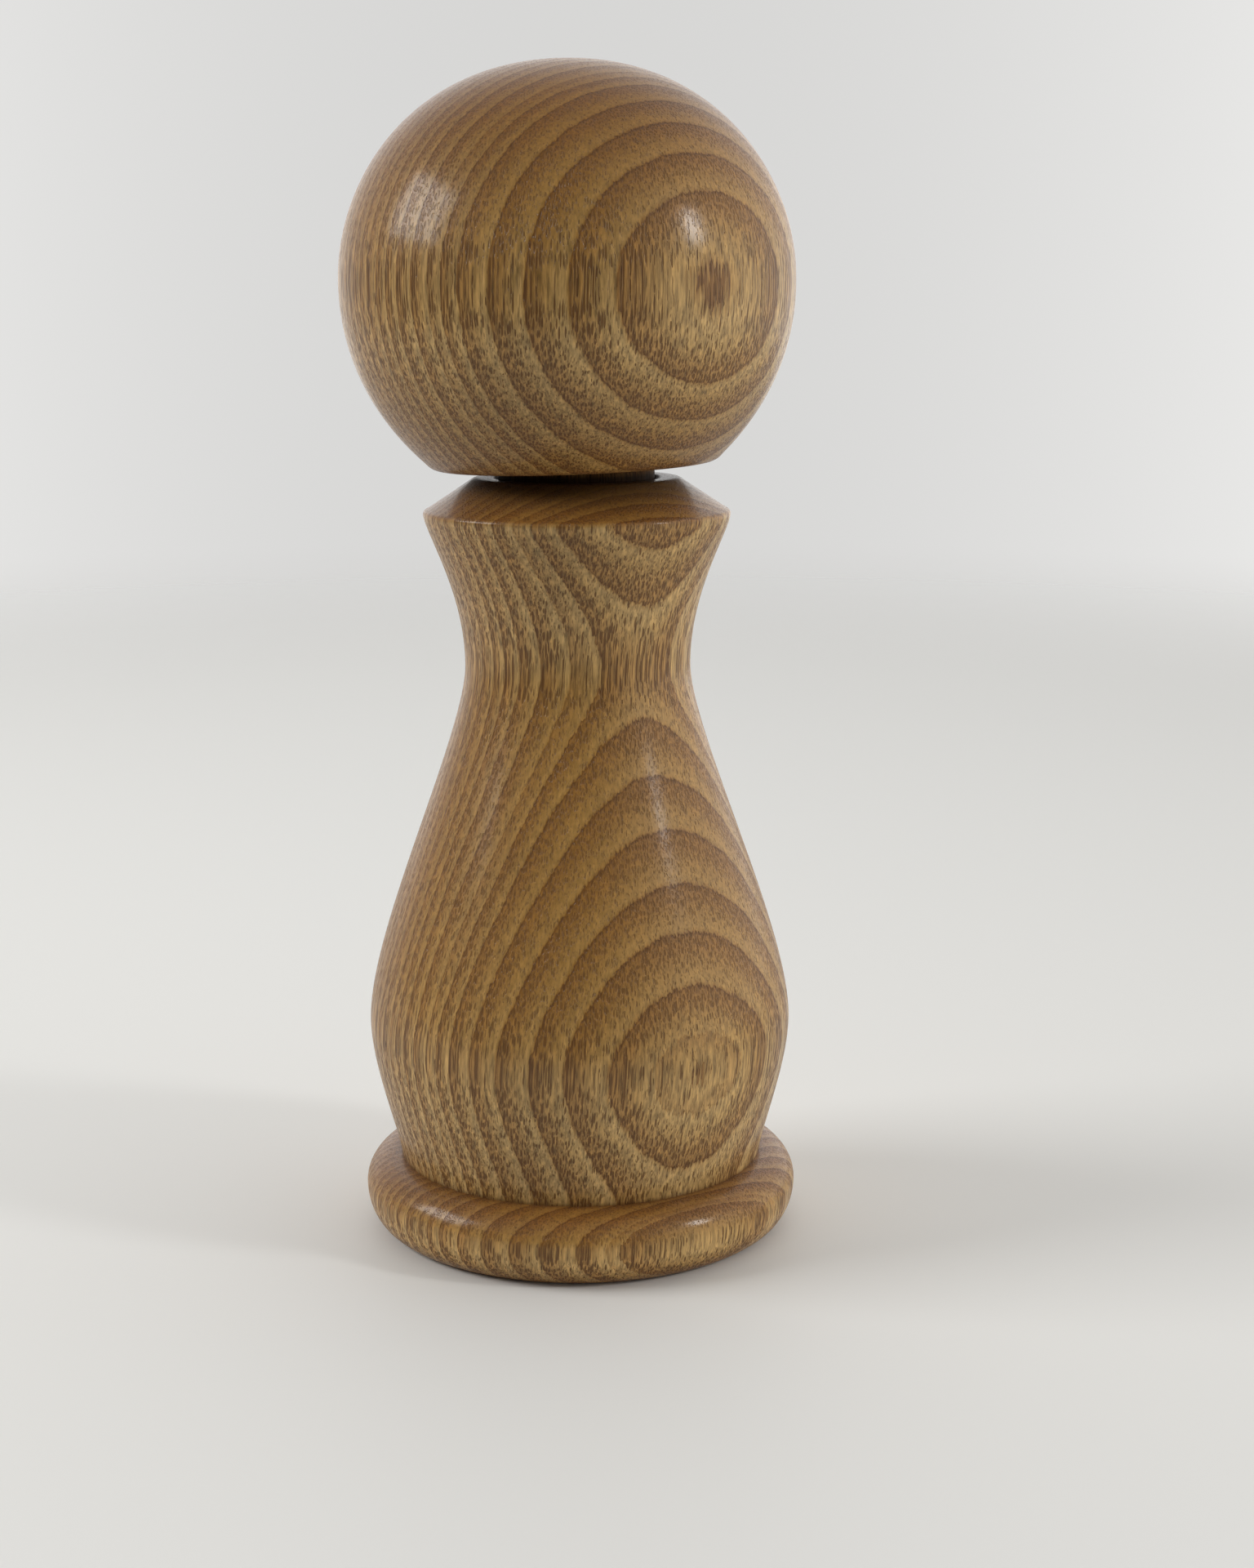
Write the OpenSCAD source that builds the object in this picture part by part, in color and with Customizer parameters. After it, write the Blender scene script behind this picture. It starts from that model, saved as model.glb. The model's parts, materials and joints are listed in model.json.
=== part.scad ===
// Pepper mill turned in the shape of a kokeshi: a wooden body with a foot, a bulb,
// a waist and a collar, a ball head that lifts off, and a ceramic grinder in the
// foot that is set from below. Millimetres, +Z up, front towards -Y. The origin is
// the centre of the underside of the foot.

/* [Body] */
// Largest radius of the foot
foot_r = 34.8; // [34:0.1:36]
// Height of the crease between foot and bulb
foot_h = 11.6; // [10.5:0.1:12.5]
// Radius of the flat underside
sole_r = 30.3; // [28:0.1:32]
// Largest radius of the bulb
bulb_r = 33.7; // [32:0.1:35]
// Height of the widest level of the bulb
bulb_z = 33.7; // [31:0.1:36]
// Radius of the waist
waist_r = 17.7; // [17:0.1:19]
// Height of the waist
waist_z = 90.8; // [88:0.1:94]
// Radius of the collar's edge
collar_r = 23.9; // [23:0.1:25]
// Height of the collar's edge
collar_z = 114.2; // [112.5:0.1:115]
// Radius of the flat on top of the body
neck_r = 15.9; // [15:0.1:17]
// Height of the body
body_h = 120; // [119:0.1:121]

/* [Head] */
// Radius of the ball
head_r = 34.9; // [33:0.1:36]
// Height of the ball, from its flat base to its top
head_h = 60.7; // [58:0.1:62]
// Height of the widest level above the base
head_belly = 27.9; // [27:0.1:29]
// Radius of the flat base
head_base_r = 20.4; // [19:0.1:21]
// Open gap between the body and the head
head_gap = 1.8; // [1.5:0.1:2.5]
// Sideways lean of the ball against its bore, in degrees
head_lean = 1.9; // [0:0.1:2.5]
// Sideways offset of the ball against its bore
head_shift = 0.3; // [0:0.1:0.5]
// Length of the tenon under the ball
tenon_h = 9.8; // [8:0.1:12]

/* [Bores] */
// Radius of the hopper bore
hopper_r = 12.5; // [12:0.1:13]
// Radius of the grinder bore
grinder_bore_r = 19.1; // [19.1:0.1:19.5]
// Height of the grinder bore
grinder_bore_h = 42; // [40:1:46]
// Radius of the recess for the mounting flange
recess_r = 22.8; // [22.8:0.1:23.5]
// Depth of the recess for the mounting flange
recess_h = 3.4; // [3.4:0.1:4]

/* [Drive] */
// Width across the square drive shaft
shaft_w = 7; // [6.6:0.1:7]
// Height of the shaft's top above the base of the head
shaft_reach = 23.2; // [18:0.1:25]
// Thread radius of the adjusting screw
screw_r = 2; // [1.8:0.1:2.2]
// Wire radius of the rotor spring
wire_r = 0.4; // [0.3:0.05:0.4]
// Turns of the rotor spring
spring_turns = 4.5; // [3.5:0.5:5]

/* [Grinder] */
// Grinding teeth on the rotor and on the stator
teeth = 24; // [18:1:30]
// Feeding flutes on the rotor and on the stator
flutes = 6; // [5:1:8]
// Radial gap between rotor and stator, opened to the coarsest setting
grind_gap = 0.7; // [0.6:0.05:0.9]
// Grip scallops around the adjuster dial
dial_scallops = 20; // [16:1:24]

/* [Hidden] */
$fn = 96;
EPS = 0.01;
PLAY = 0.1;
FIT = 0.05;

// Head
head_z = body_h + head_gap;
tenon_r = hopper_r - 0.4;
tenon_z = head_z - tenon_h;
socket_r = 9;
socket_top = head_z + 27.2;
neck_chamfer = 0.8;

// Drive
half_diagonal = shaft_w / sqrt(2);
shaft_top = head_z + shaft_reach;
shaft_bottom = 14;
screw_bottom = 1.2;
screw_top = 23.8;
clip_groove = [1.8, 2.4];

// Housing of the grinder
flange_r = 22.6;
flange_z = 1.4;
tube_r = 19;
stator_seat_r = 17.2;
stator_z = [4.6, 22];
throat_r = 16.2;
spider_z = [31, 36];
hub_r = 7.5;
hub_bore_r = 6;
spoke_w = 3;
key_w = 4;
key_r = 18.2;
key_top = 10;

// Flange screws
flange_screws = 3;
flange_screw_ring_r = 20.9;
flange_screw_r = 0.9;
flange_screw_head_r = 1.7;
flange_screw_l = 8;

// Rotor group
rotor_z = [5, 19];
rotor_foot_r = 14.1;
rotor_waist_r = 11.6;
rotor_top_r = 8.8;
grind_top = 10;
core_r = 6.3;
core_top = 24;
carrier_z = [5.5, 7.4];
carrier_r = 9.5;
spline_w = 2;
spline_r = 7.3;
bush_z = [30.5, 36.5];
bush_flange_r = 7.5;
bush_flange_t = 1.5;
spring_r = (half_diagonal + hub_bore_r) / 2 - 0.03;

// Dial
dial_z = [1, 5];
dial_r = 8.5;
dial_pocket_r = 4;
dial_pocket_z = 2.6;

// ---- Shapes shared by the pieces ----

// Points of a cubic curve from a to d
function curve(a, b, c, d, steps = 14) = [
    for (i = [0:steps])
        let (t = i / steps, u = 1 - t)
            u * u * u * a + 3 * u * u * t * b + 3 * u * t * t * c + t * t * t * d
];

// A list without its first point, so that joined curves share one point
function rest_of(list) = [for (i = [1:len(list) - 1]) list[i]];

// A plain disc or drum between two heights
module drum(r, z) {
    translate([0, 0, z[0]]) cylinder(r = r, h = z[1] - z[0]);
}

// A cutting drum that runs past both heights
module cut_drum(r, z) {
    drum(r, [z[0] - EPS, z[1] + EPS]);
}

module ring(r_out, r_in, z) {
    difference() {
        drum(r_out, z);
        cut_drum(r_in, z);
    }
}

module square_bar(w, z) {
    translate([-w / 2, -w / 2, z[0]]) cube([w, w, z[1] - z[0]]);
}

module around(count, start = 0) {
    for (i = [0:count - 1]) rotate([0, 0, start + i * 360 / count]) children();
}

// A V-shaped bar along the line from [r, z] to [r, z], slanted by skew degrees
module tooth_cutter(from, to, size, skew) {
    run = to - from;
    translate([from[0], 0, from[1]])
        rotate([skew, atan2(run[0], run[1]), 0])
            translate([0, 0, -1])
                cylinder(r = size, h = norm(run) + 2, $fn = 4);
}

// ---- Wooden body ----

foot_peak_z = 0.56 * foot_h;
bulb_root = [29.1, foot_h];
bulb_peak = [bulb_r, bulb_z];
waist = [waist_r, waist_z];
collar = [collar_r, collar_z];
foot_outline = concat(
    [for (a = [0:9:90]) [sole_r + (foot_r - sole_r) * sin(a), foot_peak_z * (1 - cos(a))]],
    [for (a = [9:9:90]) [
        bulb_root[0] + (foot_r - bulb_root[0]) * cos(a),
        foot_peak_z + (foot_h - foot_peak_z) * sin(a)]]
);
bulb_outline = concat(
    curve(bulb_root, bulb_root + [0.4, 3.8], bulb_peak - [0, 7.4], bulb_peak, 8),
    rest_of(curve(bulb_peak, bulb_peak + [0, 14.1], waist - [0, 10.7], waist, 20)),
    rest_of(curve(waist, waist + [0, 11.2], collar - [0.75, 3.7], collar, 10))
);
edge_outline = [collar + [0, 0.4], collar + [-0.5, 0.8], [neck_r + 0.3, body_h - 0.2],
    [neck_r, body_h], [0, body_h]];

module body() {
    color("#8b7750")
    difference() {
        rotate_extrude()
            polygon(concat([[0, 0]], foot_outline, rest_of(bulb_outline), edge_outline));
        cut_drum(recess_r, [0, recess_h]);
        cut_drum(grinder_bore_r, [0, grinder_bore_h]);
        cut_drum(hopper_r, [0, body_h]);
        // Broken edge of the hopper's mouth
        translate([0, 0, body_h - neck_chamfer])
            cylinder(r1 = hopper_r, r2 = hopper_r + neck_chamfer + EPS, h = neck_chamfer + EPS);
        // Pilot holes for the flange screws
        around(flange_screws, 90)
            translate([flange_screw_ring_r, 0, 0])
                cylinder(r = flange_screw_r + FIT, h = flange_z + flange_screw_l + 1);
    }
}

// ---- Wooden head ----

belly = [head_r, head_belly];
cheek = [head_base_r + 2.6, 1.1];
crown = [0, head_h];
ball_outline = concat(
    [[0, 0]],
    curve([head_base_r, 0], [head_base_r + 1, 0], cheek - [0.8, 0.9], cheek, 4),
    rest_of(curve(cheek, cheek + [1.4, 1.5], belly - [0, 16.4], belly, 14)),
    rest_of(curve(belly, belly + [0, 15], crown + [23.4, 0], crown, 18))
);

module head() {
    color("#8b7750")
    difference() {
        union() {
            translate([-head_shift, 0, head_z])
                rotate([0, -head_lean, 0])
                    rotate_extrude()
                        polygon(ball_outline);
            drum(tenon_r, [tenon_z + 0.6, head_z + 3]);
            translate([0, 0, tenon_z]) cylinder(r1 = tenon_r - 0.6, r2 = tenon_r, h = 0.6 + EPS);
        }
        cut_drum(socket_r, [tenon_z, socket_top + 0.4]);
    }
}

grip_groove = [tenon_z + 4.9, tenon_z + 6.1];

// Square socket that is pressed into the head and slips over the shaft
module head_socket() {
    mouth = tenon_z + 0.6;
    hole_w = shaft_w + 0.3;
    color("#2a2a2c")
    difference() {
        drum(socket_r - FIT, [mouth, socket_top]);
        square_bar(hole_w, [mouth - 1, shaft_top + FIT]);
        // Lead-in for the shaft
        translate([0, 0, mouth - EPS]) cylinder(r1 = 7, r2 = hole_w / 2, h = 3);
        // Groove of the grip ring
        drum(half_diagonal + 1.5, grip_groove);
    }
}

module grip_ring() {
    section_r = 0.55;
    color("#161616")
    translate([0, 0, (grip_groove[0] + grip_groove[1]) / 2])
        rotate_extrude()
            translate([half_diagonal + section_r + 0.1, 0]) circle(r = section_r, $fn = 24);
}

// ---- Fixed parts of the grinder ----

module grinder_housing() {
    color("#242426")
    difference() {
        union() {
            drum(flange_r, [flange_z, recess_h - EPS]);
            drum(tube_r, [flange_z, spider_z[1]]);
        }
        // Seat of the stator, open below
        cut_drum(stator_seat_r, [flange_z, stator_z[1]]);
        cut_drum(throat_r, [flange_z, spider_z[0]]);
        // Feed windows between the spokes of the spider
        difference() {
            ring(throat_r, hub_r, [spider_z[0] - 1, spider_z[1] + 1]);
            around(3, 30)
                translate([0, -spoke_w / 2, spider_z[0]])
                    cube([tube_r, spoke_w, spider_z[1] - spider_z[0]]);
        }
        cut_drum(hub_bore_r, spider_z);
        // Slots for the stator's keys
        around(3)
            translate([0, -key_w / 2 - PLAY, flange_z - EPS])
                cube([key_r + PLAY, key_w + 2 * PLAY, key_top - flange_z + PLAY]);
        // Countersunk screw holes
        around(flange_screws, 90)
            translate([flange_screw_ring_r, 0, flange_z - EPS]) {
                cylinder(r = flange_screw_r + PLAY, h = 5);
                cylinder(r1 = flange_screw_head_r + PLAY, r2 = flange_screw_r + PLAY, h = 1.1);
            }
    }
}

module flange_screws() {
    color("#c4c5c8")
    around(flange_screws, 90)
        translate([flange_screw_ring_r, 0, flange_z])
            difference() {
                union() {
                    cylinder(r1 = flange_screw_head_r, r2 = flange_screw_r, h = 1);
                    cylinder(r = flange_screw_r, h = flange_screw_l - 1);
                    translate([0, 0, flange_screw_l - 1])
                        cylinder(r1 = flange_screw_r, r2 = 0.2, h = 1);
                }
                // Cross recess
                for (a = [0, 90])
                    rotate([0, 0, a]) translate([-0.9, -0.2, -EPS]) cube([1.8, 0.4, 0.6]);
            }
}

stator_foot = [rotor_foot_r + grind_gap + 0.2, stator_z[0]];
stator_throat = [rotor_waist_r + grind_gap, grind_top];
stator_mouth = [13.6, stator_z[1]];

module stator() {
    seat_r = stator_seat_r - PLAY;
    color("#e9e6dd")
    difference() {
        union() {
            drum(seat_r, stator_z);
            // Keys that stop it turning in the housing
            around(3)
                translate([seat_r - 1, -key_w / 2, stator_z[0]])
                    cube([key_r - seat_r + 1, key_w, key_top - stator_z[0]]);
        }
        rotate_extrude()
            polygon([
                [0, stator_z[0] - EPS], [stator_foot[0], stator_z[0] - EPS], stator_foot,
                stator_throat, stator_mouth, [stator_mouth[0], stator_z[1] + EPS],
                [0, stator_z[1] + EPS]
            ]);
        around(teeth)
            tooth_cutter(stator_foot, stator_throat, 0.55, 9);
        around(flutes)
            tooth_cutter(stator_throat + [0.2, 1], stator_mouth + [0.2, 0], 1.3, -14);
    }
}

module retaining_ring() {
    z = [flange_z + 0.2, stator_z[0]];
    color("#242426")
    difference() {
        ring(stator_seat_r - PLAY, 15.4, z);
        // Spanner notches
        around(3, 60)
            translate([14, -1.5, z[0] - EPS]) cube([4, 3, 1.2]);
    }
}

// ---- Drive ----

module drive_shaft() {
    tip = 0.6;
    color("#b9bbbe")
    difference() {
        union() {
            square_bar(shaft_w, [shaft_bottom, shaft_top - tip]);
            square_bar(shaft_w - 2 * tip, [shaft_top - tip - EPS, shaft_top]);
        }
        // Threaded hole of the adjusting screw
        drum(screw_r, [shaft_bottom - EPS, screw_top + 1]);
    }
}

module bearing_bush() {
    bush_flange_z = [bush_z[1], bush_z[1] + bush_flange_t];
    color("#d8d6cf")
    difference() {
        union() {
            drum(hub_bore_r - FIT, [bush_z[0], bush_z[1] + EPS]);
            drum(bush_flange_r, bush_flange_z);
        }
        square_bar(shaft_w + FIT, [bush_z[0] - 1, bush_flange_z[1] + 1]);
    }
}

module thrust_washer() {
    color("#c4c5c8")
    ring(bush_flange_r, hub_bore_r + PLAY, [spider_z[1] + FIT, bush_z[1]]);
}

// Push-on clip with prongs that bite on the shaft
module shaft_clip() {
    z = [bush_z[1] + bush_flange_t, bush_z[1] + bush_flange_t + 0.6];
    color("#c4c5c8")
    difference() {
        drum(7, z);
        square_bar(shaft_w + FIT, [z[0] - 1, z[1] + 1]);
        around(4, 45)
            translate([0, 0, z[0] - EPS]) translate([4.5, -0.4, 0]) cube([1.4, 0.8, 1]);
    }
}

// Compression spring: a round wire swept along a helix with closed ends
spring_z = [core_top + wire_r + FIT, bush_z[0] - wire_r - FIT];
wire_sides = 8;
turn_steps = 24;
spring_steps = spring_turns * turn_steps;
// Share of the rise reached at share t of the wire, flat at both ends
function rise(t) = t < 0.14 ? 0.5 * t : t > 0.86 ? 1 - 0.5 * (1 - t) : 0.07 + (t - 0.14) * 0.86 / 0.72;
function wire_point(i, k) =
    let (
        t = i / spring_steps,
        turn = i * 360 / turn_steps,
        side = k * 360 / wire_sides,
        reach = spring_r + wire_r * cos(side)
    )
    [reach * cos(turn), reach * sin(turn),
        spring_z[0] + (spring_z[1] - spring_z[0]) * rise(t) + wire_r * sin(side)];

module rotor_spring() {
    points = [for (i = [0:spring_steps]) for (k = [0:wire_sides - 1]) wire_point(i, k)];
    skin = [
        for (i = [0:spring_steps - 1]) for (k = [0:wire_sides - 1])
            let (a = i * wire_sides + k, b = i * wire_sides + (k + 1) % wire_sides)
                [a, b, b + wire_sides, a + wire_sides]
    ];
    start_cap = [for (k = [wire_sides - 1:-1:0]) k];
    end_cap = [for (k = [0:wire_sides - 1]) spring_steps * wire_sides + k];
    color("#a9abae")
    polyhedron(points, concat(skin, [start_cap, end_cap]), convexity = 6);
}

module adjusting_screw() {
    color("#b08d4a")
    difference() {
        drum(screw_r - FIT, [screw_bottom, screw_top]);
        // Groove of the stop clip
        ring(screw_r + 1, screw_r - 0.5, clip_groove);
    }
}

module stop_clip() {
    color("#c4c5c8")
    difference() {
        ring(screw_r + 1.3, screw_r - 0.45, clip_groove);
        // Open side that snaps over the screw
        translate([0, -1, clip_groove[0] - EPS]) cube([6, 2, 2]);
    }
}

// ---- Rotor group ----

module rotor() {
    foot = [rotor_foot_r, rotor_z[0]];
    knee = [rotor_waist_r, grind_top];
    top = [rotor_top_r, rotor_z[1]];
    color("#e9e6dd")
    difference() {
        rotate_extrude()
            polygon([[0, rotor_z[0]], foot, knee, top, [0, rotor_z[1]]]);
        around(teeth, 180 / teeth)
            tooth_cutter(foot, knee, 0.55, -9);
        around(flutes)
            tooth_cutter(knee + [0.4, 0.6], top + [0.4, 0], 1.5, 16);
        cut_drum(core_r + PLAY, rotor_z);
        // Pocket of the carrier's flange
        cut_drum(carrier_r + 0.2, [rotor_z[0], carrier_z[1] - EPS]);
        // Slots for the splines
        around(2)
            translate([0, -spline_w / 2 - PLAY, rotor_z[0]])
                cube([spline_r + PLAY, spline_w + 2 * PLAY, rotor_z[1]]);
    }
}

module rotor_carrier() {
    step_z = 12.5;
    color("#3a3b3e")
    difference() {
        union() {
            drum(carrier_r, carrier_z);
            drum(core_r, [carrier_z[0], core_top]);
            around(2)
                translate([0, -spline_w / 2, carrier_z[0]])
                    cube([spline_r, spline_w, rotor_z[1] - carrier_z[0]]);
        }
        square_bar(shaft_w + 0.2, [step_z, core_top + 1]);
        cut_drum(screw_r + 0.6, [carrier_z[0], step_z]);
    }
}

module rotor_retainer() {
    z = [rotor_z[1], rotor_z[1] + 0.8];
    color("#c4c5c8")
    difference() {
        ring(rotor_top_r - 0.2, core_r + FIT, z);
        around(3, 90)
            translate([core_r - 1, -0.5, z[0] - EPS]) cube([1.8, 1, 1]);
    }
}

module detent_washer() {
    z = [dial_z[1], carrier_z[0]];
    color("#c4c5c8")
    difference() {
        ring(8, screw_r + 0.6, z);
        around(8)
            translate([6.4, 0, z[0] - 1]) cylinder(r = 0.6, h = 3);
    }
}

module adjuster_dial() {
    chamfer = 0.6;
    color("#55575b")
    difference() {
        union() {
            drum(dial_r, [dial_z[0] + chamfer, dial_z[1]]);
            translate([0, 0, dial_z[0]])
                cylinder(r1 = dial_r - chamfer, r2 = dial_r, h = chamfer + EPS);
        }
        cut_drum(screw_r + FIT, dial_z);
        cut_drum(dial_pocket_r, [dial_z[0], dial_pocket_z]);
        around(dial_scallops)
            translate([dial_r + 0.5, 0, dial_z[0] - 1]) cylinder(r = 1, h = 6, $fn = 24);
    }
}

body();
grinder_housing();
flange_screws();
stator();
retaining_ring();
drive_shaft();
bearing_bush();
thrust_washer();
shaft_clip();
rotor_spring();
adjusting_screw();
stop_clip();
rotor();
rotor_carrier();
rotor_retainer();
detent_washer();
adjuster_dial();
head();
head_socket();
grip_ring();
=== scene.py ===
import json
from math import cos, pi, radians, sin, tau

import bmesh
import bpy
from mathutils import Euler, Matrix, Vector


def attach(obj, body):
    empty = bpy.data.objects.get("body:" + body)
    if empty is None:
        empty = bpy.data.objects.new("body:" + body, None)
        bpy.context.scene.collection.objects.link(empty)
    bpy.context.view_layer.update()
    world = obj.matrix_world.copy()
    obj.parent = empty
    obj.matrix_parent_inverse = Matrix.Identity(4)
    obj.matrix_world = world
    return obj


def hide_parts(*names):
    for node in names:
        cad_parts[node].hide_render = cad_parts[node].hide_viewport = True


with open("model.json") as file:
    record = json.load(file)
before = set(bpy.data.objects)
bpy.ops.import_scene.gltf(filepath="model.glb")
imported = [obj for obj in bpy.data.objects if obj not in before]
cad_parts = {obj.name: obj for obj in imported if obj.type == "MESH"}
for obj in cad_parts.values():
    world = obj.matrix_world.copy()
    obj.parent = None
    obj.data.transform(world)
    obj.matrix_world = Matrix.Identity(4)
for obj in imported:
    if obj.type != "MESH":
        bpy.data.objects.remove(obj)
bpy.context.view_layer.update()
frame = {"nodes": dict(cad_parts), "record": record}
MM = 0.001

# ---------------------------------------------------------------- sizes, in millimetres

SOLE_RADIUS = 30.3
FOOT_RADIUS = 34.8
FOOT_WIDEST_Z = 6.5
ROOT = (29.1, 11.6)
BULB = (33.7, 33.7)
WAIST = (17.7, 90.8)
COLLAR = (23.9, 114.2)
BODY_HEIGHT = 120
HOPPER_RADIUS = 12.5
GRINDER_RADIUS = 19.1
GRINDER_TOP = 42
RECESS_RADIUS = 22.8
RECESS_TOP = 3.4

HEAD_Z = 121.8
HEAD_LEAN = radians(1.9)
HEAD_SHIFT = 0.3
HEAD_HEIGHT = 60.7
HEAD_BELLY = (34.9, 27.9)
HEAD_BASE_RADIUS = 20.4
SOCKET_RADIUS = 9.0
SOCKET_TOP = 27.6
TENON_RADIUS = 12.1
TENON_LENGTH = 9.8

# ---------------------------------------------------------------- shapes


def curve(a, b, c, d, steps):
    """Points of a cubic curve from a to d, without its first point."""
    points = []
    for i in range(1, steps + 1):
        t = i / steps
        u = 1 - t
        w = (u * u * u, 3 * u * u * t, 3 * u * t * t, t * t * t)
        points.append(tuple(w[0] * a[k] + w[1] * b[k] + w[2] * c[k] + w[3] * d[k] for k in (0, 1)))
    return points


def arc(centre, radii, start, end, steps):
    """Points of an elliptic arc from start to end, in degrees, with both ends."""
    turns = [radians(start + (end - start) * i / steps) for i in range(steps + 1)]
    return [(centre[0] + radii[0] * cos(t), centre[1] + radii[1] * sin(t)) for t in turns]


def new_object(name, bm, crease=30):
    """An object from a bmesh in millimetres, smooth but for edges sharper than crease degrees."""
    bmesh.ops.scale(bm, vec=(MM, MM, MM), verts=bm.verts)
    bmesh.ops.recalc_face_normals(bm, faces=bm.faces)
    mesh = bpy.data.meshes.new(name)
    bm.to_mesh(mesh)
    bm.free()
    for face in mesh.polygons:
        face.use_smooth = True
    mesh.set_sharp_from_angle(angle=radians(crease))
    thing = bpy.data.objects.new(name, mesh)
    bpy.context.scene.collection.objects.link(thing)
    return thing


def lathe(outline, segments, move=None):
    """A bmesh of the closed outline [(r, z), ...] turned about the Z axis. Points with r = 0 are
    poles. move(x, y, z, i) may shift a vertex of outline point i."""
    bm = bmesh.new()
    move = move or (lambda x, y, z, i: (x, y, z))
    turns = [tau * k / segments for k in range(segments)]
    hoops = []
    for i, (r, z) in enumerate(outline):
        if r <= 0:
            hoops.append([bm.verts.new(move(0, 0, z, i))] * segments)
        else:
            hoops.append([bm.verts.new(move(r * cos(t), r * sin(t), z, i)) for t in turns])
    for low, high in zip(hoops, hoops[1:] + hoops[:1]):
        if low[0] is low[1] and high[0] is high[1]:
            continue
        for k in range(segments):
            n = (k + 1) % segments
            bm.faces.new(list(dict.fromkeys([low[k], low[n], high[n], high[k]])))
    return bm


# ---------------------------------------------------------------- node trees


class Nodes:
    """A node tree, built from Python expressions."""

    def __init__(self, tree):
        self.tree = tree
        self.tree.nodes.clear()

    def add(self, kind):
        return self.tree.nodes.new(kind)

    def put(self, socket, value):
        """Links value to the socket, or sets the socket to it."""
        if isinstance(value, bpy.types.NodeSocket):
            self.tree.links.new(value, socket)
        else:
            socket.default_value = value

    def math(self, operation, *values, clamp=False):
        node = self.add("ShaderNodeMath")
        node.operation = operation
        node.use_clamp = clamp
        for socket, value in zip(node.inputs, values):
            self.put(socket, value)
        return node.outputs[0]

    def vector(self, operation, a, b=None, scale=None):
        node = self.add("ShaderNodeVectorMath")
        node.operation = operation
        self.put(node.inputs[0], a)
        if b is not None:
            self.put(node.inputs[1], b)
        if scale is not None:
            self.put(node.inputs["Scale"], scale)
        return node.outputs["Value"] if operation == "LENGTH" else node.outputs[0]

    def split(self, vector):
        node = self.add("ShaderNodeSeparateXYZ")
        self.put(node.inputs[0], vector)
        return node.outputs[0], node.outputs[1], node.outputs[2]

    def join(self, x, y, z):
        node = self.add("ShaderNodeCombineXYZ")
        for socket, value in zip(node.inputs, (x, y, z)):
            self.put(socket, value)
        return node.outputs[0]

    def noise(self, point, size, detail=2, roughness=0.5, colour=False):
        """Noise with features of size (x, y, z) in millimetres, about 0 to 1."""
        node = self.add("ShaderNodeTexNoise")
        node.inputs["Scale"].default_value = 1
        node.inputs["Detail"].default_value = detail
        node.inputs["Roughness"].default_value = roughness
        self.put(node.inputs["Vector"], self.vector("DIVIDE", point, size))
        return node.outputs["Color"] if colour else node.outputs["Fac"]

    def shift(self, point, noise, reach):
        """point moved by a noise colour, up to about reach/2 mm each way."""
        centred = self.vector("SUBTRACT", noise, (0.5, 0.5, 0.5))
        return self.vector("ADD", point, self.vector("SCALE", centred, scale=reach))

    def cells(self, point, size, dimensions="3D"):
        """Distance to the nearest of scattered points, in cells, and that point's random colour."""
        node = self.add("ShaderNodeTexVoronoi")
        node.voronoi_dimensions = dimensions
        node.inputs["Scale"].default_value = 1
        self.put(node.inputs["Vector"], self.vector("DIVIDE", point, size))
        return node.outputs["Distance"], node.outputs["Color"]

    def smooth(self, value, low, high):
        """0 at low and 1 at high, with soft ends. low may be above high."""
        node = self.add("ShaderNodeMapRange")
        node.interpolation_type = "SMOOTHSTEP"
        flipped = low > high
        self.put(node.inputs["Value"], value)
        node.inputs["From Min"].default_value = min(low, high)
        node.inputs["From Max"].default_value = max(low, high)
        node.inputs["To Min"].default_value = 1 if flipped else 0
        node.inputs["To Max"].default_value = 0 if flipped else 1
        return node.outputs[0]

    def band(self, value, middle, reach, core):
        """1 within core of middle, and 0 beyond reach of it."""
        away = self.math("ABSOLUTE", self.math("SUBTRACT", value, middle))
        return self.smooth(away, reach, core)

    def spread(self, value, low, high):
        """Noise about 0 to 1 brought to low to high."""
        return self.math("MULTIPLY_ADD", value, high - low, low)

    def ramp(self, value, stops):
        node = self.add("ShaderNodeValToRGB")
        elements = node.color_ramp.elements
        while len(elements) < len(stops):
            elements.new(0.5)
        for element, (place, colour) in zip(elements, stops):
            element.position = place
            element.color = (*colour, 1)
        self.put(node.inputs["Fac"], value)
        return node.outputs["Color"]

    def steps(self, value, points, low, high):
        """Straight lines through points [(x, y), ...], with x from low to high and y from 0 to 1."""
        node = self.add("ShaderNodeFloatCurve")
        line = node.mapping.curves[0]
        while len(line.points) < len(points):
            line.points.new(0, 0)
        for handle, (x, y) in zip(line.points, points):
            handle.location = ((x - low) / (high - low), y)
            handle.handle_type = "VECTOR"
        node.mapping.update()
        share = self.math("DIVIDE", self.math("SUBTRACT", value, low), high - low)
        self.put(node.inputs["Value"], share)
        return node.outputs[0]

    def mix(self, share, a, b, blend="MIX"):
        node = self.add("ShaderNodeMix")
        node.data_type = "RGBA"
        node.blend_type = blend
        node.clamp_factor = True
        self.put(node.inputs["Factor"], share)
        self.put(node.inputs["A"], (*a, 1) if isinstance(a, tuple) else a)
        self.put(node.inputs["B"], (*b, 1) if isinstance(b, tuple) else b)
        return node.outputs["Result"]

    def bump(self, height, depth_mm):
        node = self.add("ShaderNodeBump")
        node.inputs["Strength"].default_value = 1.0
        node.inputs["Distance"].default_value = depth_mm * MM
        self.put(node.inputs["Height"], height)
        return node.outputs["Normal"]


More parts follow.
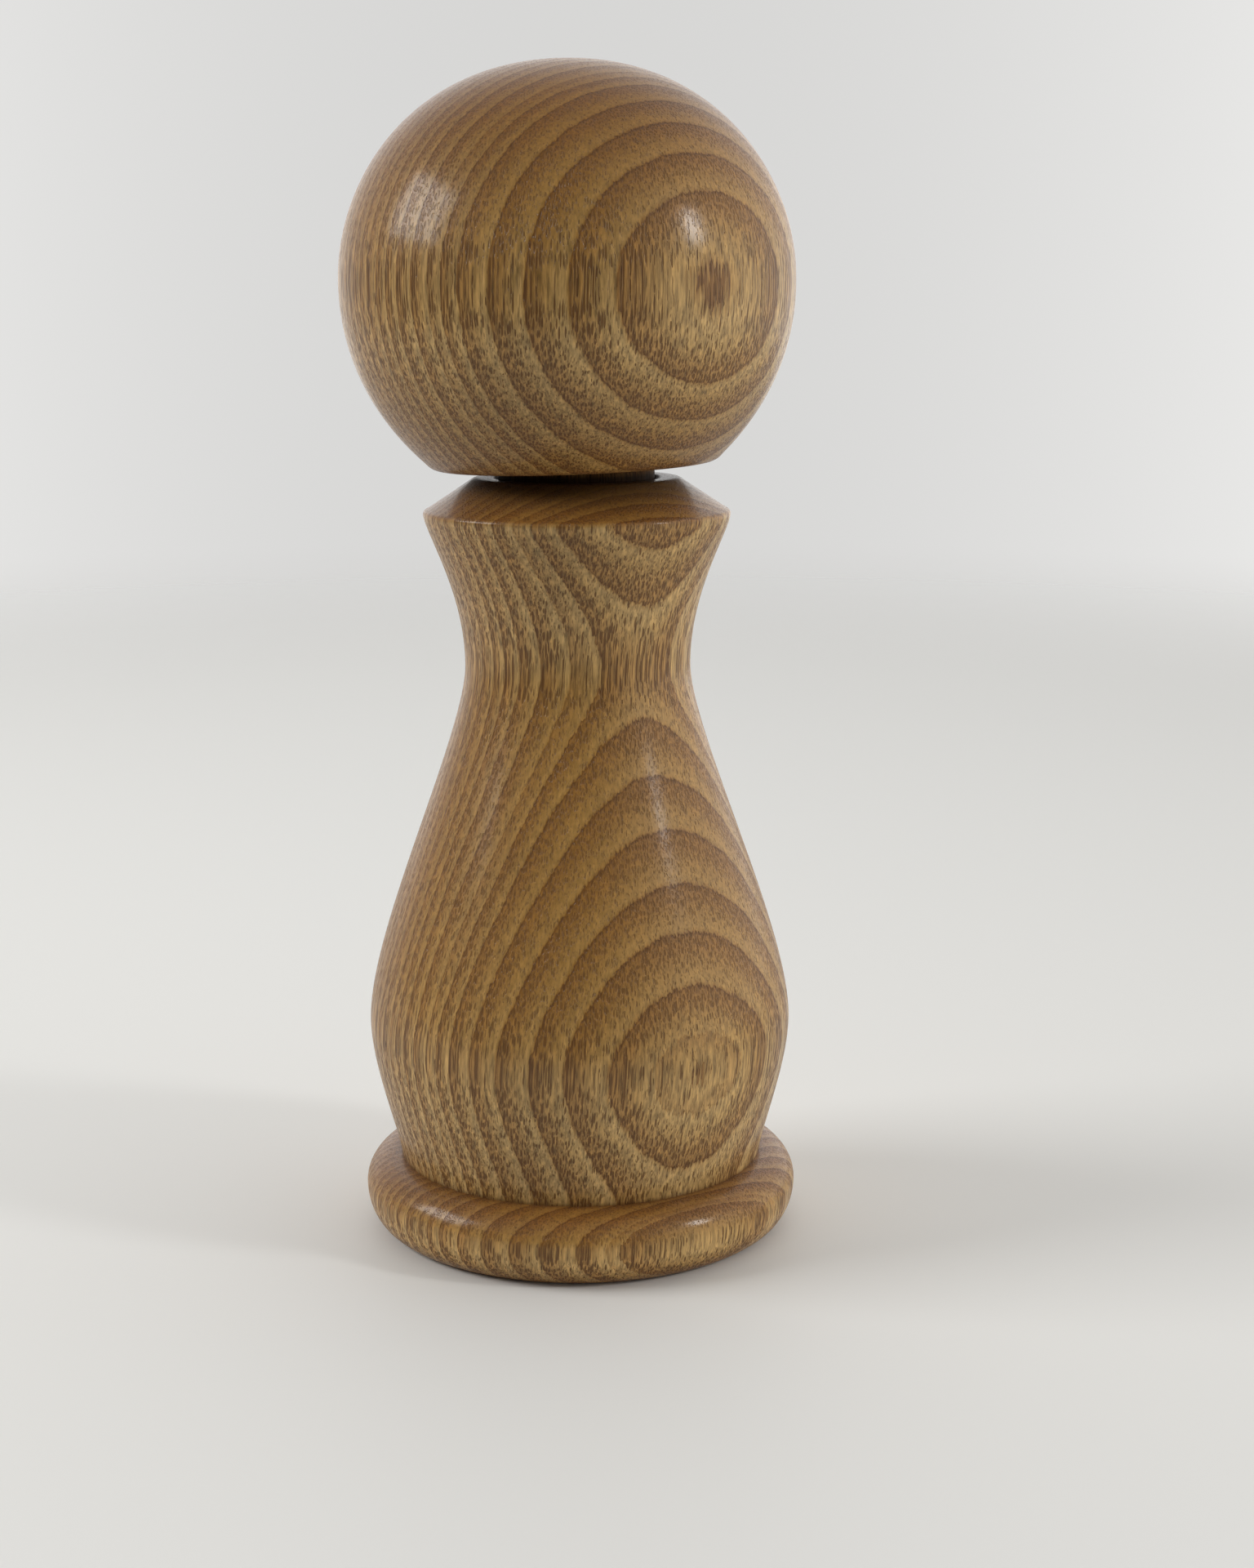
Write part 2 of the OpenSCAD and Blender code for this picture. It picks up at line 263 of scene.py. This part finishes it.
class Graph(Nodes):
    """The node tree of one material. place is the point on the object in millimetres."""

    def __init__(self, name):
        self.material = bpy.data.materials.new(name)
        self.material.use_nodes = True
        super().__init__(self.material.node_tree)
        self.shader = self.add("ShaderNodeBsdfPrincipled")
        self.output = self.add("ShaderNodeOutputMaterial")
        self.put(self.output.inputs["Surface"], self.shader.outputs["BSDF"])
        coords = self.add("ShaderNodeTexCoord")
        self.place = self.vector("SCALE", coords.outputs["Object"], scale=1000)
        self.normal = coords.outputs["Normal"]

    def radius(self):
        """Distance from the object's Z axis."""
        x, y, _ = self.split(self.place)
        return self.math("SQRT", self.math("ADD", self.math("POWER", x, 2), self.math("POWER", y, 2)))

    def finish(self, **sockets):
        """Sets the shader's sockets by name, with _ for a space."""
        for name, value in sockets.items():
            if isinstance(value, tuple) and len(value) == 3:
                value = (*value, 1)
            self.put(self.shader.inputs[name.replace("_", " ")], value)
        return self.material


# ---------------------------------------------------------------- wood

# One tree gave the blanks of body and head. Its rings are cylinders about a far pith, and grow
# towards the front right. A ring starts dark and full of large pores, and ends pale and dense.
# Depths and widths are in mm along the growth.
FIRST_RING = -1.3
INNER_WIDTH = 2.2
INNER_RINGS = 16
BODY_WIDTHS = (2.8, 1.9, 2.3, 2.5, 2.7, 1.7, 2.2, 2.9, 3.1, 3.2, 2.8, 2.85, 2.1, 0.29, 2.9, 2.9)
HEAD_WIDTHS = (2.4, 2.3, 2.3, 2.95, 2.85, 1.75, 2.25, 3.6, 3.5, 3.4, 2.9, 2.6, 2.9, 2.9)
GRAIN = (-40, 40)

AGE_COLOURS = [
    (0.0, (0.259, 0.124, 0.030)), (0.06, (0.320, 0.162, 0.041)), (0.3, (0.354, 0.186, 0.051)),
    (0.6, (0.406, 0.236, 0.074)), (0.88, (0.449, 0.276, 0.097)), (0.96, (0.406, 0.236, 0.074)),
    (1.0, (0.276, 0.137, 0.034))]
PORE_SHARES = [
    (0.0, (1, 1, 1)), (0.3, (0.95, 0.95, 0.95)), (0.55, (0.5, 0.5, 0.5)),
    (0.8, (0.13, 0.13, 0.13)), (1.0, (0.1, 0.1, 0.1))]
INNER_WOOD = (0.320, 0.162, 0.049)
LATE_WOOD = (0.430, 0.258, 0.088)
EDGE_WOOD = (0.147, 0.058, 0.011)
PORE_WOOD = (0.120, 0.045, 0.0080)
# Painted shade on the cone under the head
HEAD_SHADE_COLOUR = (0.060, 0.030, 0.008)
# Painted shade: darkens the bare wood of the bores and the tenon, which sit in shade
BORE_SHADE_TINT = (0.40, 0.34, 0.28)
# Tints from a face that looks down, through an upright one at 0.5, to one that looks up. They are
# partly the end grain's own darker, warmer colour on faces that look up,
# and partly painted light and shade: darker on faces that look down, and paler and cooler just below
# upright, standing in for light from the floor
TILT_GRAIN_AND_LIGHT_TINTS = [
    (0.0, (0.62, 0.50, 0.38)), (0.2, (0.78, 0.74, 0.64)), (0.38, (1.12, 1.18, 1.32)),
    (0.5, (1.03, 1.03, 1.03)), (0.66, (0.98, 0.89, 0.70)), (0.88, (0.78, 0.62, 0.40)),
    (1.0, (0.70, 0.54, 0.33))]


def ring_starts(widths):
    starts = [FIRST_RING - INNER_WIDTH * k for k in range(INNER_RINGS, 0, -1)]
    starts.append(FIRST_RING)
    for width in widths:
        starts.append(starts[-1] + width)
    return starts


def rings(g, point, facing, pith, widths, false_rings):
    """How far through its ring a point is (0 to 1), its depth along the growth, and how false its
    ring is. false_rings holds (index in widths, how false)."""
    x, y, _ = g.split(point)
    out = (sin(radians(facing)), -cos(radians(facing)))
    across = g.math("POWER", g.math("ADD", x, out[0] * pith), 2)
    along = g.math("POWER", g.math("ADD", y, out[1] * pith), 2)
    depth = g.math("SUBTRACT", g.math("SQRT", g.math("ADD", across, along)), pith)
    starts = ring_starts(widths)
    last = len(starts) - 1
    line = [(s, i / last) for i, s in enumerate(starts)]
    count = g.math("MULTIPLY", g.steps(depth, line, *GRAIN), last)
    number = g.math("FLOOR", count)
    weak = 0.0
    for ring, share in false_rings:
        here = g.math("COMPARE", number, INNER_RINGS + ring, 0.4)
        weak = g.math("MULTIPLY_ADD", here, share, weak)
    return g.math("FRACT", count), depth, weak


def vessels(g, point, spacing, radius, share, length):
    """Open pores, 1 inside: tubes along the grain, spacing mm apart and radius of that wide. share
    of them are open, in pieces about length mm long."""
    near, tint = g.cells(point, (spacing, spacing, 1), "2D")
    chance, girth, _ = g.split(tint)
    broken = g.noise(point, (spacing, spacing, length), 1)
    odds = g.math("ADD", g.spread(broken, -0.75, 0.75), share)
    is_open = g.smooth(g.math("SUBTRACT", odds, chance), -0.03, 0.03)
    width = g.spread(girth, radius * 0.75, radius * 1.15)
    return g.math("MULTIPLY", is_open, g.smooth(g.math("DIVIDE", near, width), 1.15, 0.75))


def wood_masks(g):
    """1 on bare wood in the bores and on the tenon, which is also darkened as painted shade; on the
    cone under the head, for painted shade under the head; and in the foot's crease, for painted shade
    in the crease.
    """
    radius = g.radius()
    z = g.split(g.place)[2]
    bore = g.smooth(radius, HOPPER_RADIUS + 0.5, HOPPER_RADIUS + 0.05)
    bare = g.math("MULTIPLY", bore, g.smooth(z, 156, 152))
    # Painted shade on the cone under the head
    head_shade = g.math("MULTIPLY", g.smooth(z, 115.2, 119.6), g.smooth(z, 121.2, 120.4))
    # Painted shade in the foot's crease
    crease = g.band(g.math("ADD", radius, z), ROOT[0] + ROOT[1], 1.1, 0.0)
    crease = g.math("MULTIPLY", crease, g.band(z, ROOT[1], 0.8, 0.1))
    return bare, head_shade, crease


def bend_grain(g, lean):
    """The point in the straight tree: undoes the grain's lean and its slow and quick wander."""
    x, y, z = g.split(g.place)
    x = g.math("MULTIPLY_ADD", z, lean[0], x)
    y = g.math("MULTIPLY_ADD", z, lean[1], y)
    upright = g.join(x, y, z)
    wander = g.noise(upright, (26, 26, 60), 1, colour=True)
    ripple = g.noise(upright, (3.5, 3.5, 11), 2, colour=True)
    return g.shift(g.shift(upright, wander, 1.1), ripple, 0.45)


def open_pores(g, bent, age, edge, weak):
    """Large pores where the ring is young, and small ones everywhere, 1 inside."""
    young = g.ramp(age, PORE_SHARES)
    young = g.math("MULTIPLY", young, g.math("MULTIPLY_ADD", weak, -0.8, 1.0))
    large = vessels(g, bent, 0.41, 0.36, g.math("MULTIPLY_ADD", edge, 0.3, young), 2.6)
    small = vessels(g, bent, 0.24, 0.30, g.math("MULTIPLY_ADD", young, 0.5, 0.26), 1.8)
    return g.math("MAXIMUM", large, g.math("MULTIPLY", small, 0.7))


def fibre_tone(g, bent, fibre, shallow):
    """Brightness of the fibres, streaks and blotches, with painted floor light that makes the wood
    paler near the sole. shallow is 1 on faces that look up.
    """
    depth = g.math("MULTIPLY_ADD", shallow, -1.3, 2.5)
    tone = g.math("MULTIPLY_ADD", g.math("SUBTRACT", fibre, 0.5), depth, 1.04)
    streak = g.noise(bent, (1.3, 1.3, 30), 2)
    blotch = g.noise(bent, (17, 17, 40), 2)
    tone = g.math("MULTIPLY", tone, g.spread(streak, 0.86, 1.14))
    tone = g.math("MULTIPLY", tone, g.spread(blotch, 0.9, 1.1))
    # Painted light: the lowest few mm of the foot are made paler, standing in for light from the
    # floor
    painted_floor_light = g.smooth(g.split(g.place)[2], 9, 3)
    return g.math("MULTIPLY", tone, g.math("MULTIPLY_ADD", painted_floor_light, 0.16, 1.0))


def wood(name, facing, pith, lean, widths, false_rings):
    """Lacquered ring-porous wood. facing is the growth direction in degrees from the front towards
    the right, pith its distance in mm, and lean the grain's lean in x and y per mm of height."""
    g = Graph(name)
    bare, head_shade, crease = wood_masks(g)
    bent = bend_grain(g, lean)
    frayed = g.shift(bent, g.noise(bent, (0.35, 0.35, 4.5), 1, colour=True), 0.5)
    age, depth, weak = rings(g, frayed, facing, pith, widths, false_rings)
    edge = g.math("MULTIPLY", g.smooth(age, 0.09, 0.0), g.math("MULTIPLY_ADD", weak, -1.0, 1.0))
    pores = open_pores(g, bent, age, edge, weak)
    fibre = g.noise(bent, (0.42, 0.42, 4.5), 3, 0.6)
    upward = g.spread(g.split(g.normal)[2], 0.5, 1.0)
    shallow = g.smooth(upward, 0.5, 0.68)

    base = g.ramp(age, AGE_COLOURS)
    base = g.mix(g.math("MULTIPLY", g.smooth(depth, 9, -8), 0.55), base, INNER_WOOD)
    base = g.mix(g.math("MULTIPLY", weak, 0.7), base, LATE_WOOD)
    base = g.vector("SCALE", base, scale=fibre_tone(g, bent, fibre, shallow))
    base = g.mix(g.math("MULTIPLY", edge, 0.5), base, EDGE_WOOD)
    # Painted light and shade by slope, mixed with the end grain's own colour on faces that look up
    base = g.mix(1.0, base, g.ramp(upward, TILT_GRAIN_AND_LIGHT_TINTS), "MULTIPLY")
    darkness = g.math("MULTIPLY_ADD", shallow, -0.34, 0.80)
    colour = g.mix(g.math("MULTIPLY", pores, darkness), base, PORE_WOOD)
    # Painted shade in the foot's crease
    colour = g.mix(g.math("MULTIPLY", crease, 0.45), colour, EDGE_WOOD)
    # Painted shade on the cone under the head, where the head shades the body
    colour = g.mix(g.math("MULTIPLY", head_shade, 0.8), colour, HEAD_SHADE_COLOUR)
    # Painted shade: bare wood in the bores and on the tenon is darkened. Its lack of lacquer and its
    # roughness are its own.
    colour = g.mix(bare, colour, g.vector("MULTIPLY", colour, BORE_SHADE_TINT))

    height = g.math("MULTIPLY_ADD", fibre, 0.2, g.math("SUBTRACT", 1, pores))
    dull = g.math("MAXIMUM", pores, bare)
    rough = g.math("MULTIPLY_ADD", dull, 0.2, g.spread(fibre, 0.46, 0.56))
    lacquer = g.math("MULTIPLY", g.math("SUBTRACT", 1, bare), 0.45)
    worn = g.spread(g.noise(g.place, (9, 9, 9), 3), 0.13, 0.22)
    return g.finish(
        Base_Color=colour, Roughness=rough, Specular_IOR_Level=0.2, Normal=g.bump(height, 0.13),
        Coat_Weight=lacquer, Coat_Roughness=worn, Coat_IOR=1.5, Coat_Normal=g.bump(height, 0.055))


# ---------------------------------------------------------------- other materials


def specks(g, spacing, share):
    """Scattered dots, 1 inside, in share of the cells, which are spacing mm wide."""
    near, tint = g.cells(g.place, (spacing, spacing, spacing))
    chance, girth, _ = g.split(tint)
    size = g.spread(girth, 0.12, 0.3)
    dots = g.smooth(g.math("DIVIDE", near, size), 1.1, 0.8)
    return g.math("MULTIPLY", dots, g.math("LESS_THAN", chance, share))


def moulded(name, colour, roughness, dust=0.12):
    """Moulded plastic or rubber with a fine skin, rubbed patches and a little pepper dust."""
    g = Graph(name)
    cloud = g.noise(g.place, (4, 4, 4), 3)
    rubbed = g.smooth(g.noise(g.place, (1.2, 1.2, 5), 4, 0.7), 0.5, 0.72)
    skin = g.noise(g.place, (0.12, 0.12, 0.12), 2)
    tone = g.vector("SCALE", colour, scale=g.spread(cloud, 0.85, 1.2))
    tone = g.mix(g.math("MULTIPLY", rubbed, 0.12), tone, (0.5, 0.5, 0.5))
    grains = specks(g, 0.7, dust)
    tone = g.mix(g.math("MULTIPLY", grains, 0.8), tone, (0.13, 0.085, 0.045))
    evenness = g.spread(cloud, roughness * 0.9, roughness * 1.2)
    rough = g.math("MULTIPLY_ADD", rubbed, -0.12, evenness)
    relief = g.bump(g.math("ADD", skin, grains), 0.025)
    return g.finish(Base_Color=tone, Roughness=rough, Normal=relief)


def ceramic(name, colour):
    """Fired ceramic: matt, a little mottled, and stained by pepper."""
    g = Graph(name)
    cloud = g.noise(g.place, (2.5, 2.5, 2.5), 4, 0.6)
    stain = g.smooth(g.noise(g.place, (3.5, 3.5, 2.0), 3), 0.48, 0.75)
    tone = g.vector("SCALE", colour, scale=g.spread(cloud, 0.88, 1.08))
    tone = g.mix(g.math("MULTIPLY", stain, 0.35), tone, (0.42, 0.30, 0.17))
    tone = g.mix(g.math("MULTIPLY", specks(g, 0.6, 0.2), 0.7), tone, (0.12, 0.075, 0.04))
    rough = g.spread(cloud, 0.42, 0.62)
    relief = g.bump(g.noise(g.place, (0.2, 0.2, 0.2), 3), 0.03)
    return g.finish(Base_Color=tone, Roughness=rough, Normal=relief)


def metal(name, colour, roughness, drawn=False):
    """Bare metal with its tool marks: lines along a drawn bar, or rings on a turned piece."""
    g = Graph(name)
    if drawn:
        lines = g.noise(g.place, (0.07, 0.07, 9), 3)
    else:
        lines = g.noise(g.join(g.radius(), g.split(g.place)[2], 0), (0.06, 0.06, 1), 3)
    worn = g.smooth(g.noise(g.place, (2.2, 2.2, 2.2), 4, 0.65), 0.45, 0.75)
    tone = g.vector("SCALE", colour, scale=g.spread(lines, 0.86, 1.12))
    tone = g.mix(g.math("MULTIPLY", worn, 0.3), tone, tuple(c * 0.55 for c in colour))
    rough = g.math("MULTIPLY_ADD", worn, 0.15, g.spread(lines, roughness * 0.75, roughness * 1.3))
    return g.finish(Base_Color=tone, Roughness=rough, Metallic=1.0, Normal=g.bump(lines, 0.012))


BODY_WOOD = wood(
    "body_wood", 33.7, 101.7, (-0.0613, 0.0135), BODY_WIDTHS, ((5, 0.5), (13, 0.85)))
HEAD_WOOD = wood(
    "head_wood", 37.25, 157.8, (-0.0122, 0.0117), HEAD_WIDTHS, ((5, 0.5),))
SLOT_LOOKS = {
    "housing_plastic": moulded("housing_plastic", (0.020, 0.020, 0.022), 0.42),
    "bush_plastic": moulded("bush_plastic", (0.60, 0.57, 0.50), 0.38),
    "carrier_plastic": moulded("carrier_plastic", (0.045, 0.047, 0.052), 0.40),
    "dial_plastic": moulded("dial_plastic", (0.10, 0.105, 0.115), 0.42, 0.2),
    "grinder_ceramic": ceramic("grinder_ceramic", (0.74, 0.71, 0.64)),
    "shaft_aluminium": metal("shaft_aluminium", (0.62, 0.63, 0.65), 0.32, True),
    "zinc_steel": metal("zinc_steel", (0.56, 0.57, 0.60), 0.30),
    "spring_steel": metal("spring_steel", (0.40, 0.41, 0.43), 0.26),
    "screw_brass": metal("screw_brass", (0.52, 0.37, 0.14), 0.26),
    "seal_rubber": moulded("seal_rubber", (0.012, 0.012, 0.013), 0.62),
    "turned_wood": BODY_WOOD,
}


def dress_nodes():
    """Puts a material on every CAD node, by its slot in the record."""
    slots = {s["node"]: s["material_slot"] for s in frame["record"]["subparts"]}
    for name, node in frame["nodes"].items():
        node.data.materials.clear()
        node.data.materials.append(HEAD_WOOD if name == "head" else SLOT_LOOKS[slots[name]])


# ---------------------------------------------------------------- wooden pieces


def body_outside():
    """The body's outline from the sole up to the flat on top."""
    foot_low = (FOOT_RADIUS - SOLE_RADIUS, FOOT_WIDEST_Z)
    foot_high = (FOOT_RADIUS - ROOT[0], ROOT[1] - FOOT_WIDEST_Z)
    outside = arc((SOLE_RADIUS, FOOT_WIDEST_Z), foot_low, -90, 0, 16)
    outside += arc((ROOT[0], FOOT_WIDEST_Z), foot_high, 0, 90, 18)[1:]
    outside += curve(ROOT, (29.5, 15.4), (33.7, 26.3), BULB, 26)
    outside += curve(BULB, (33.7, 47.8), (17.7, 80.1), WAIST, 60)
    outside += curve(WAIST, (17.7, 102.0), (23.15, 110.5), COLLAR, 30)
    outside += curve(COLLAR, (23.98, 114.65), (23.75, 115.0), (23.2, 115.2), 8)
    outside += [(20, 117.3), (16.6, 119.55)]
    outside += curve((16.6, 119.55), (16.2, 119.85), (15.9, BODY_HEIGHT), (15.4, BODY_HEIGHT), 5)
    return outside


def body_bores():
    """The body's bores from the top down, with small chamfers."""
    return [
        (13.4, BODY_HEIGHT), (13.1, 119.95), (12.6, 119.3), (HOPPER_RADIUS, 119.1),
        (HOPPER_RADIUS, 100), (HOPPER_RADIUS, 80), (HOPPER_RADIUS, 60), (HOPPER_RADIUS, 42.3),
        (12.8, GRINDER_TOP), (18.9, GRINDER_TOP), (GRINDER_RADIUS, 41.8), (GRINDER_RADIUS, 20),
        (GRINDER_RADIUS, 3.6), (19.3, RECESS_TOP), (22.6, RECESS_TOP), (RECESS_RADIUS, 3.2),
        (RECESS_RADIUS, 0.3), (23.1, 0)]


def make_body():
    body = new_object("turned_body", lathe(body_outside() + body_bores(), 256))
    body.data.materials.append(BODY_WOOD)
    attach(body, "mill_body")
    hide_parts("body")


def make_head():
    """The ball leans and sits off centre, while its socket and tenon stay upright."""
    ball = [(TENON_RADIUS, 0.0), (HEAD_BASE_RADIUS, 0.0)]
    ball += curve((HEAD_BASE_RADIUS, 0), (21.4, 0), (22.2, 0.2), (23.0, 1.1), 8)
    ball += curve((23.0, 1.1), (24.4, 2.6), (34.9, 11.5), HEAD_BELLY, 48)
    ball += curve(HEAD_BELLY, (34.9, 42.9), (23.4, HEAD_HEIGHT), (0.0, HEAD_HEIGHT), 64)
    socket = [(0.0, SOCKET_TOP), (8.8, SOCKET_TOP), (SOCKET_RADIUS, 27.4), (SOCKET_RADIUS, 0)]
    tenon = [
        (SOCKET_RADIUS, -9.6), (9.2, -TENON_LENGTH), (11.5, -TENON_LENGTH), (TENON_RADIUS, -9.2),
        (TENON_RADIUS, -1.0)]

    def lean(x, y, z, i):
        if i >= len(ball):
            return x, y, z + HEAD_Z
        return (x * cos(HEAD_LEAN) - z * sin(HEAD_LEAN) - HEAD_SHIFT, y,
                HEAD_Z + x * sin(HEAD_LEAN) + z * cos(HEAD_LEAN))

    head = new_object("turned_head", lathe(ball + socket + tenon, 256, lean))
    head.data.materials.append(HEAD_WOOD)
    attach(head, "head")
    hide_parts("head")


# ---------------------------------------------------------------- studio

# Brightness of the room on each side
SKY = {"left": 0.15, "right": 1.20, "front": 0.02, "back": 1.60, "top": 0.28, "floor": 1.00}
SKY_COLOUR = (1, 0.995, 0.98, 1)
# Brightness of the backdrop straight ahead, and where the squared x of the direction is WIDE
BACKDROP = (0.68, 0.84)
WIDE = 0.09

FLOOR_RADIUS = 2.5
FLOOR_COLOUR = (0.88, 0.875, 0.85)
# The floor fades out from FADE[0] to FADE[1] mm away from FADE_CENTRE
FADE_CENTRE = (0, 250, 0)
FADE = (300, 850)

CAMERA_PLACE = (0, -0.38975, 0.14929)
CAMERA_PITCH = radians(11.31)
CAMERA_YAW = radians(1.13)
CAMERA_ROLL = radians(0.13)
CAMERA_LENS = 57.41


def room_light(nodes, direction):
    """Each side's brightness, weighed by the square of the direction towards it."""
    total = 0
    pairs = (("left", "right"), ("front", "back"), ("floor", "top"))
    for part, pair in zip(direction, pairs):
        for sign, side in zip((-1, 1), pair):
            towards = nodes.math("MULTIPLY", part, sign, clamp=True)
            square = nodes.math("POWER", towards, 2)
            total = nodes.math("MULTIPLY_ADD", square, SKY[side], total)
    return total


def backdrop_light(nodes, direction):
    node = nodes.add("ShaderNodeMapRange")
    node.inputs["From Max"].default_value = WIDE
    node.inputs["To Min"].default_value = BACKDROP[0]
    node.inputs["To Max"].default_value = BACKDROP[1]
    nodes.put(node.inputs["Value"], nodes.math("POWER", direction[0], 2))
    return node.outputs[0]


def make_world():
    """Soft light that differs by side, behind a plain backdrop that only the camera sees."""
    world = bpy.data.worlds.new("studio")
    bpy.context.scene.world = world
    world.use_nodes = True
    nodes = Nodes(world.node_tree)
    direction = nodes.split(nodes.add("ShaderNodeTexCoord").outputs["Generated"])
    seen = nodes.add("ShaderNodeMix")
    nodes.put(seen.inputs[0], nodes.add("ShaderNodeLightPath").outputs["Is Camera Ray"])
    nodes.put(seen.inputs[2], room_light(nodes, direction))
    nodes.put(seen.inputs[3], backdrop_light(nodes, direction))
    sky = nodes.add("ShaderNodeBackground")
    sky.inputs["Color"].default_value = SKY_COLOUR
    nodes.put(sky.inputs["Strength"], seen.outputs[0])
    nodes.put(nodes.add("ShaderNodeOutputWorld").inputs["Surface"], sky.outputs[0])


def floor_look():
    """Pale paper that fades out with distance. It is clear from below, and glows where the foot
    covers it, so a view from below shows the grinder."""
    g = Graph("floor_paper")
    reach = g.vector("LENGTH", g.vector("SUBTRACT", g.place, FADE_CENTRE))
    under_foot = g.smooth(g.vector("LENGTH", g.place), SOLE_RADIUS - 0.05, SOLE_RADIUS - 0.55)
    g.finish(Base_Color=FLOOR_COLOUR, Roughness=0.6, Specular_IOR_Level=0.2,
             Emission_Color=(1, 1, 1), Emission_Strength=under_foot)
    below = g.add("ShaderNodeNewGeometry").outputs["Backfacing"]
    fade = g.add("ShaderNodeMixShader")
    g.put(fade.inputs[0], g.math("MAXIMUM", g.smooth(reach, *FADE), below))
    g.put(fade.inputs[1], g.shader.outputs["BSDF"])
    g.put(fade.inputs[2], g.add("ShaderNodeBsdfTransparent").outputs[0])
    g.put(g.output.inputs["Surface"], fade.outputs[0])
    return g.material


def make_floor():
    """A disc just under the foot."""
    turns = [tau * k / 96 for k in range(96)]
    rim = [(FLOOR_RADIUS * cos(t), FLOOR_RADIUS * sin(t), -0.0001) for t in turns]
    mesh = bpy.data.meshes.new("floor")
    mesh.from_pydata(rim, [], [range(96)])
    floor_disc = bpy.data.objects.new("floor", mesh)
    bpy.context.scene.collection.objects.link(floor_disc)
    floor_disc.data.materials.append(floor_look())


def window(name, azimuth, elevation, distance, size, power):
    """A soft window. azimuth is in degrees from the front towards the right."""
    target = Vector((0, 0, 0.12))
    a, e = radians(azimuth), radians(elevation)
    away = Vector((sin(a) * cos(e), -cos(a) * cos(e), sin(e)))
    lamp = bpy.data.lights.new(name, "AREA")
    lamp.shape = "RECTANGLE"
    lamp.size, lamp.size_y = size
    lamp.energy = power
    holder = bpy.data.objects.new(name, lamp)
    holder.location = target + away * distance
    holder.rotation_euler = away.to_track_quat("Z", "Y").to_euler()
    bpy.context.scene.collection.objects.link(holder)


def make_camera():
    lens = bpy.data.cameras.new("camera")
    lens.lens = CAMERA_LENS
    lens.sensor_width = 36
    lens.clip_start = 0.01
    holder = bpy.data.objects.new("camera", lens)
    turn = Euler((pi / 2 - CAMERA_PITCH, 0, -CAMERA_YAW)).to_matrix()
    turn = turn @ Matrix.Rotation(-CAMERA_ROLL, 3, "Z")
    holder.matrix_world = Matrix.Translation(CAMERA_PLACE) @ turn.to_4x4()
    bpy.context.scene.collection.objects.link(holder)
    bpy.context.scene.camera = holder


make_body()
make_head()
dress_nodes()
make_world()
make_floor()
window("left_window", -86, 29, 1.1, (0.6, 0.42), 6.2)
window("right_window", 68, 25, 1.2, (0.15, 0.27), 2.8)
make_camera()
bpy.context.scene.view_settings.view_transform = "Standard"
